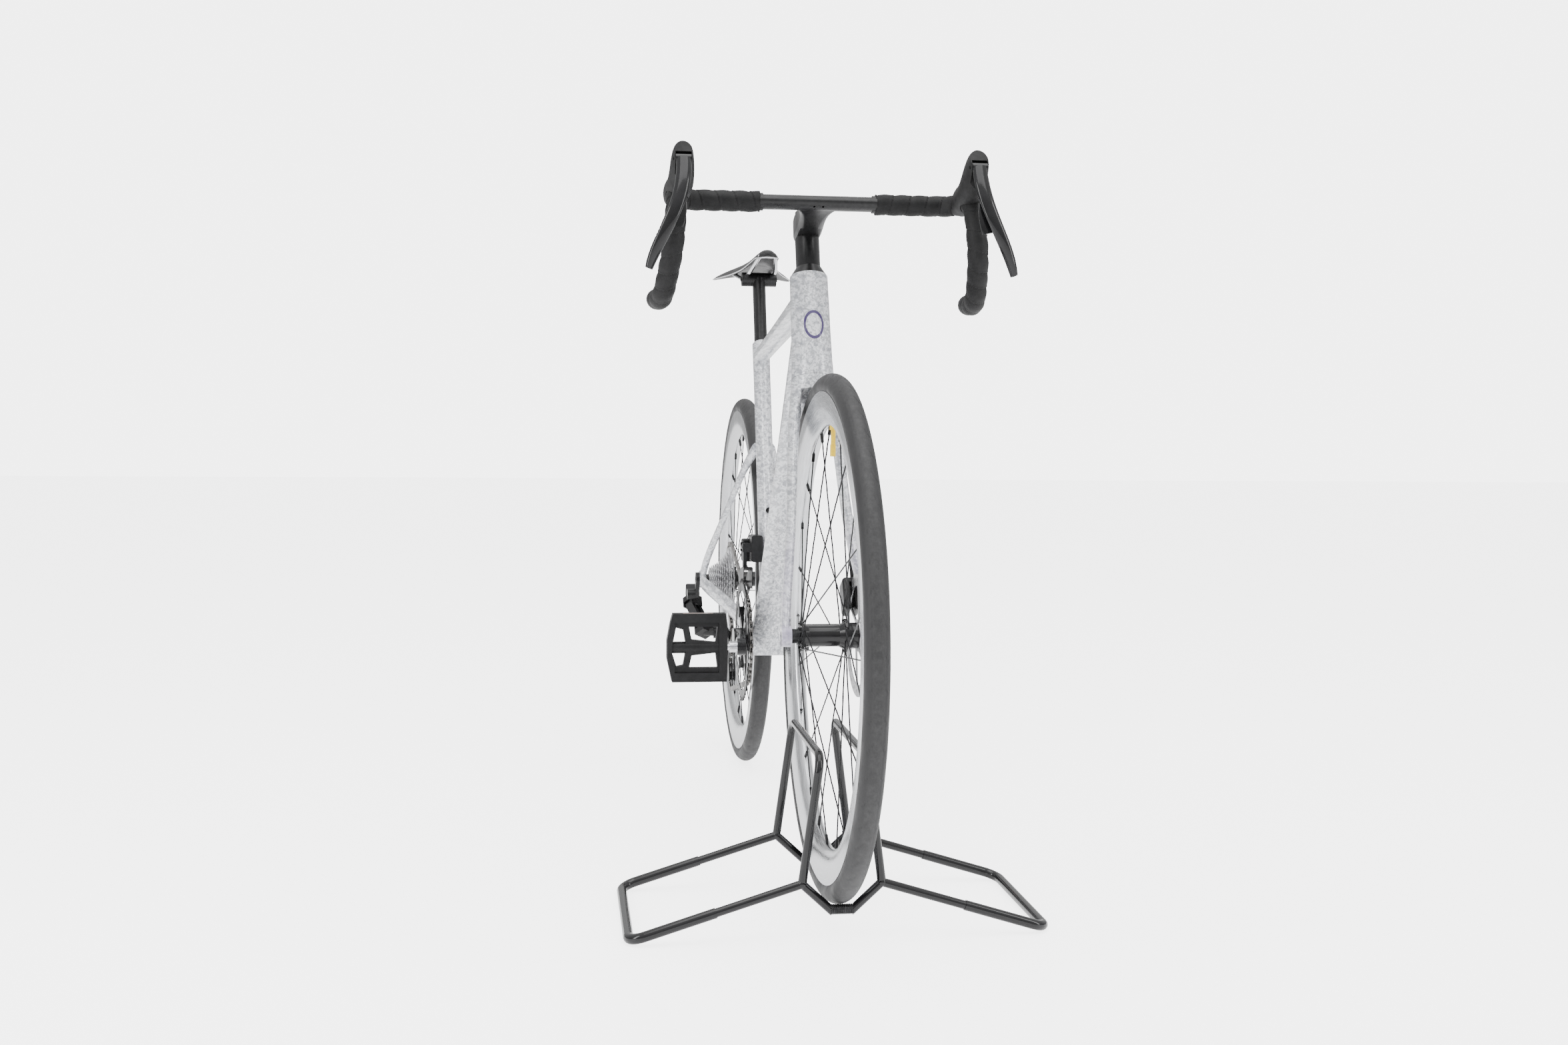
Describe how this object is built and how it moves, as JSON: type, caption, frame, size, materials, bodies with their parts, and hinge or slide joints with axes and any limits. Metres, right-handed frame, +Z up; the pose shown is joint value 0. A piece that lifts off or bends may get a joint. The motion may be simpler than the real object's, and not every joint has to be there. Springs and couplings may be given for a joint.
{
  "type": "bicycle on stand",
  "caption": "Road bicycle with drop bar and disc brakes, its front wheel held upright in a sprung folding floor stand.",
  "frame": {"origin": "on the floor, midway between the wheel axles, on the bicycle's middle plane", "axes": "+X towards the front wheel, +Y to the rider's left, +Z up"},
  "size_m": [1.6644, 0.539, 0.9967],
  "materials": {
    "pearl_white_paint": "gloss",
    "rim_silver": "satin",
    "bright_steel": "brushed",
    "chrome": "polished",
    "black_gloss": "gloss",
    "black_matte": "matte",
    "black_anodised": "satin",
    "black_steel": "gloss",
    "black_rubber": "matte",
    "tyre_rubber": "matte",
    "bar_tape_black": "matte",
    "saddle_cover": "satin",
    "amber_lens": "gloss",
    "yellow_cap": "gloss",
    "stand_enamel": "gloss",
    "spring_steel": "bright",
    "chain_steel": "oiled"
  },
  "bodies": {
    "frame": {"front_triangle": "pearl_white_paint", "rear_triangle": "pearl_white_paint", "derailleur_hanger": "black_anodised", "bottom_bracket_cups": "black_anodised", "headset_bearings": "bright_steel", "frame_bolts": "black_steel", "chain": "chain_steel", "rear_thru_axle": "black_anodised", "rear_brake_caliper": "black_anodised", "rear_derailleur_body": "black_anodised", "front_derailleur_body": "black_anodised", "derailleur_batteries": "black_matte"},
    "steering": {"fork": "pearl_white_paint", "headset_cover_and_spacers": "black_anodised", "handlebar": "black_anodised", "bar_tape": "bar_tape_black", "bar_end_plugs": "black_matte", "brake_hoods": "black_rubber", "front_thru_axle": "black_anodised", "front_brake_caliper": "black_anodised", "front_brake_hose": "black_rubber"},
    "front_wheel": {"front_tyre": "tyre_rubber", "front_rim": "rim_silver", "front_spokes": "black_steel", "front_hub": "black_gloss", "front_brake_rotor": "bright_steel", "front_valve": "yellow_cap"},
    "rear_wheel": {"rear_tyre": "tyre_rubber", "rear_rim": "rim_silver", "rear_spokes": "black_steel", "rear_hub": "black_gloss", "rear_brake_rotor": "bright_steel", "rear_valve": "yellow_cap"},
    "cassette": {"cassette": "bright_steel"},
    "crankset": {"crank_arms": "black_gloss", "chainrings": "black_anodised", "chainring_bolts": "chrome", "pedal_axles": "chrome"},
    "right_pedal": {"pedal_right": "black_matte", "pedal_reflectors_right": "amber_lens"},
    "left_pedal": {"pedal_left": "black_matte", "pedal_reflectors_left": "amber_lens"},
    "outer_link": {"derailleur_outer_link": "black_anodised"},
    "inner_link": {"derailleur_inner_link": "black_anodised"},
    "cage_knuckle": {"derailleur_cage_knuckle": "black_anodised"},
    "cage": {"derailleur_cage": "black_anodised"},
    "guide_pulley": {"guide_pulley": "black_matte"},
    "tension_pulley": {"tension_pulley": "black_matte"},
    "front_changer": {"front_derailleur_cage": "black_anodised"},
    "right_brake_lever": {"brake_lever_right": "black_gloss"},
    "left_brake_lever": {"brake_lever_left": "black_gloss"},
    "right_shift_paddle": {"shift_paddle_right": "black_gloss"},
    "left_shift_paddle": {"shift_paddle_left": "black_gloss"},
    "seatpost": {"seatpost": "black_anodised"},
    "saddle": {"saddle_clamp": "black_anodised", "saddle_rails": "chrome", "saddle": "saddle_cover"},
    "stand": {"stand_wing_left": "stand_enamel", "stand_springs": "spring_steel"},
    "stand_right_wing": {"stand_wing_right": "stand_enamel"}
  },
  "joints": [
    {"name": "steering_turn", "type": "hinge", "parent": "frame", "child": "steering", "pos_m": [0.33366, 0, 0.69849], "axis": [-0.3159, 0, 0.9488], "range_deg": [-60, 60]},
    {"name": "front_wheel_spin", "type": "hinge", "parent": "steering", "child": "front_wheel", "pos_m": [0.49235, 0, 0.3643], "axis": [0, 1, 0], "continuous": true},
    {"name": "rear_wheel_spin", "type": "hinge", "parent": "frame", "child": "rear_wheel", "pos_m": [-0.49235, 0, 0.34], "axis": [0, 1, 0], "continuous": true},
    {"name": "crank_spin", "type": "hinge", "parent": "frame", "child": "crankset", "pos_m": [-0.08677, 0, 0.27999], "axis": [0, 1, 0], "continuous": true, "deforming": ["chain"]},
    {"name": "cassette_spin", "type": "hinge", "parent": "frame", "child": "cassette", "pos_m": [-0.49235, 0, 0.34], "axis": [0, 1, 0], "continuous": true, "deforming": ["chain"]},
    {"name": "right_pedal_spin", "type": "hinge", "parent": "crankset", "child": "right_pedal", "pos_m": [0.08275, -0.13, 0.29277], "axis": [0, 1, 0], "continuous": true},
    {"name": "left_pedal_spin", "type": "hinge", "parent": "crankset", "child": "left_pedal", "pos_m": [-0.25628, 0.13, 0.2672], "axis": [0, 1, 0], "continuous": true},
    {"name": "outer_link_swing", "type": "hinge", "parent": "frame", "child": "outer_link", "pos_m": [-0.51134, -0.0998, 0.29188], "axis": [-0.5876, -0.5996, -0.5433], "range_deg": [0, 66], "deforming": ["chain"]},
    {"name": "inner_link_swing", "type": "hinge", "parent": "frame", "child": "inner_link", "pos_m": [-0.51883, -0.0862, 0.28496], "axis": [-0.5876, -0.5996, -0.5433], "range_deg": [0, 66], "deforming": ["chain"]},
    {"name": "cage_knuckle_turn", "type": "hinge", "parent": "outer_link", "child": "cage_knuckle", "pos_m": [-0.49618, -0.07975, 0.25336], "axis": [-0.5876, -0.5996, -0.5433], "range_deg": [-66, 0], "deforming": ["chain"]},
    {"name": "cage_swing", "type": "hinge", "parent": "cage_knuckle", "child": "cage", "pos_m": [-0.48189, -0.04, 0.24023], "axis": [0, 1, 0], "range_deg": [-25, 35], "stiffness_Nm_per_rad": 0.5, "deforming": ["chain"]},
    {"name": "guide_pulley_spin", "type": "hinge", "parent": "cage", "child": "guide_pulley", "pos_m": [-0.47676, -0.024, 0.23535], "axis": [0, 1, 0], "continuous": true, "deforming": ["chain"]},
    {"name": "tension_pulley_spin", "type": "hinge", "parent": "cage", "child": "tension_pulley", "pos_m": [-0.4592, -0.024, 0.16141], "axis": [0, 1, 0], "continuous": true, "deforming": ["chain"]},
    {"name": "front_changer_swing", "type": "hinge", "parent": "frame", "child": "front_changer", "pos_m": [-0.12946, -0.04, 0.42998], "axis": [-0.9997, 0, -0.0247], "range_deg": [0, 8], "deforming": ["chain"]},
    {"name": "right_brake_lever_pull", "type": "hinge", "parent": "steering", "child": "right_brake_lever", "pos_m": [0.48437, -0.192, 0.97226], "axis": [0, 1, 0], "range_deg": [0, 12], "stiffness_Nm_per_rad": 3, "springref_deg": -5.73},
    {"name": "left_brake_lever_pull", "type": "hinge", "parent": "steering", "child": "left_brake_lever", "pos_m": [0.48437, 0.192, 0.97226], "axis": [0, 1, 0], "range_deg": [0, 12], "stiffness_Nm_per_rad": 3, "springref_deg": -5.73},
    {"name": "right_shift_paddle_push", "type": "hinge", "parent": "right_brake_lever", "child": "right_shift_paddle", "pos_m": [0.493, -0.193, 0.92646], "axis": [0.192, -0.2164, -0.9572], "range_deg": [0, 8], "stiffness_Nm_per_rad": 0.6, "springref_deg": -5.73},
    {"name": "left_shift_paddle_push", "type": "hinge", "parent": "left_brake_lever", "child": "left_shift_paddle", "pos_m": [0.493, 0.193, 0.92646], "axis": [-0.192, -0.2164, 0.9572], "range_deg": [0, 8], "stiffness_Nm_per_rad": 0.6, "springref_deg": -5.73},
    {"name": "seatpost_height", "type": "slide", "parent": "frame", "child": "seatpost", "axis": [-0.3159, 0, 0.9488], "range_m": [-0.05, 0.1]},
    {"name": "saddle_tilt", "type": "hinge", "parent": "seatpost", "child": "saddle", "pos_m": [-0.28829, 0, 0.88532], "axis": [0, 1, 0], "range_deg": [-12, 12]},
    {"name": "stand_lowering", "type": "slide", "parent": "steering", "child": "stand", "axis": [0, 0, -1], "range_m": [0, 0.1]},
    {"name": "stand_wing_opening", "type": "hinge", "parent": "stand", "child": "stand_right_wing", "pos_m": [0.49235, 0, 0.03918], "axis": [1, 0, 0], "range_deg": [0, 24], "stiffness_Nm_per_rad": 20, "springref_deg": -8.59, "deforming": ["stand_springs"]}
  ],
  "couplings": [
    {"joint": "cassette_spin", "follows": "crank_spin", "ratio": 1.0606},
    {"joint": "guide_pulley_spin", "follows": "crank_spin", "ratio": -2.9167},
    {"joint": "tension_pulley_spin", "follows": "crank_spin", "ratio": 2.9167},
    {"joint": "inner_link_swing", "follows": "outer_link_swing", "ratio": 1},
    {"joint": "cage_knuckle_turn", "follows": "outer_link_swing", "ratio": -1}
  ]
}
